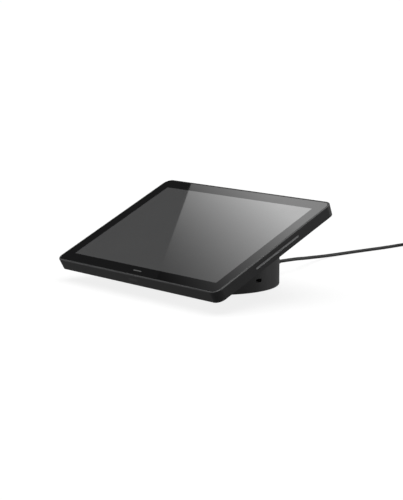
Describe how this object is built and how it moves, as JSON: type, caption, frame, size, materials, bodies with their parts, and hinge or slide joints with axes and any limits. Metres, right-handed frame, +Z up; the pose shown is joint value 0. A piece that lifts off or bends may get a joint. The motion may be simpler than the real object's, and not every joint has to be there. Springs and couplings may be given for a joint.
{
  "type": "card payment terminal",
  "caption": "Countertop card payment terminal: a tilted touch display with a card slot in its right edge, on a round weighted swivel stand with a power cord.",
  "frame": {"origin": "middle of the rubber foot's underside, on the stand's swivel axis, at the table", "axes": "+Z up; -Y towards the person who uses the screen; +X to that person's right, where the card slot is"},
  "size_m": [0.247, 0.489, 0.0915],
  "materials": {
    "housing": "fine moulded texture, charcoal black",
    "cover_glass": "polished, printed black border",
    "display": "satin dark panel",
    "adhesive": "matt black tape",
    "plate_metal": "satin pressed sheet",
    "steel": "zinc plated, satin",
    "weight_steel": "phosphated steel",
    "circuit_board": "green solder mask",
    "copper": "plain copper track",
    "contact_gold": "gold plated",
    "ferrite": "matt grey sheet",
    "slot_plastic": "light grey, fine texture",
    "reader_plastic": "glass filled plastic",
    "connector_plastic": "natural nylon",
    "bearing_plastic": "natural acetal",
    "ribbon": "amber film",
    "rubber": "matt, fine grooves",
    "cable": "smooth matt cable sheath",
    "plug_metal": "satin nickel plate",
    "strap": "woven strap",
    "inlay": "blank satin inlay"
  },
  "bodies": {
    "foot": {"foot_plate": "steel", "rubber_foot": "rubber", "swivel_bearing": "bearing_plastic", "pivot_bolt": "steel", "pivot_washer": "steel", "pivot_nut": "steel", "stop_pin": "steel"},
    "terminal": {"head_housing": "housing", "cover_glass": "cover_glass", "glass_adhesive": "adhesive", "display_frame": "reader_plastic", "touch_sensor": "display", "display_panel": "display", "contactless_aerial": "copper", "ferrite_sheet": "ferrite", "middle_plate": "plate_metal", "front_inlay": "inlay", "card_slot_insert": "slot_plastic", "card_reader_frame": "reader_plastic", "lever_pin": "steel", "card_switch": "reader_plastic", "main_board": "circuit_board", "board_shields": "steel", "board_spacers": "steel", "lead_socket": "connector_plastic", "backup_cell": "steel", "cell_holder": "reader_plastic", "tamper_switches": "rubber", "wireless_aerials": "copper", "display_ribbon": "ribbon", "reader_ribbon": "ribbon", "power_switch": "reader_plastic", "rear_cover": "housing", "mount_plate": "steel", "lead_plug": "connector_plastic", "rear_cover_screws": "steel", "board_screws": "steel", "stand_screws": "steel", "speaker_left": "reader_plastic", "speaker_right": "reader_plastic", "stand_housing": "housing", "stand_floor": "steel", "base_weight": "weight_steel", "pivot_bush": "bearing_plastic", "lock_plate": "steel", "cable_strain_relief": "cable", "cable_clamp": "reader_plastic", "floor_screws": "steel", "weight_screws": "steel", "clamp_screws": "steel", "inner_lead": "cable", "power_cord": "cable", "cord_coil": "cable", "cord_tie": "strap", "cord_plug_grip": "cable", "cord_plug_nose": "plug_metal"},
    "contact_carrier": {"card_contact_carrier": "connector_plastic", "card_contacts": "contact_gold"},
    "lever": {"card_lever": "connector_plastic"},
    "power_key": {"power_button": "housing"}
  },
  "joints": [
    {"name": "stand_swivel", "type": "hinge", "parent": "foot", "child": "terminal", "pos_m": [0, 0, 0], "axis": [0, 0, 1], "range_deg": [-90, 90]},
    {"name": "card_landing", "type": "slide", "parent": "terminal", "child": "contact_carrier", "axis": [0, -0.4226, 0.9063], "range_m": [0, 0.0003], "stiffness_N_per_m": 400},
    {"name": "lever_turn", "type": "hinge", "parent": "terminal", "child": "lever", "pos_m": [0.0695, -0.01251, 0.05757], "axis": [0, -0.9063, -0.4226], "range_deg": [0, 12], "stiffness_Nm_per_rad": 0.002},
    {"name": "power_press", "type": "slide", "parent": "terminal", "child": "power_key", "axis": [1, 0, 0], "range_m": [0, 0.0006], "stiffness_N_per_m": 1500}
  ]
}
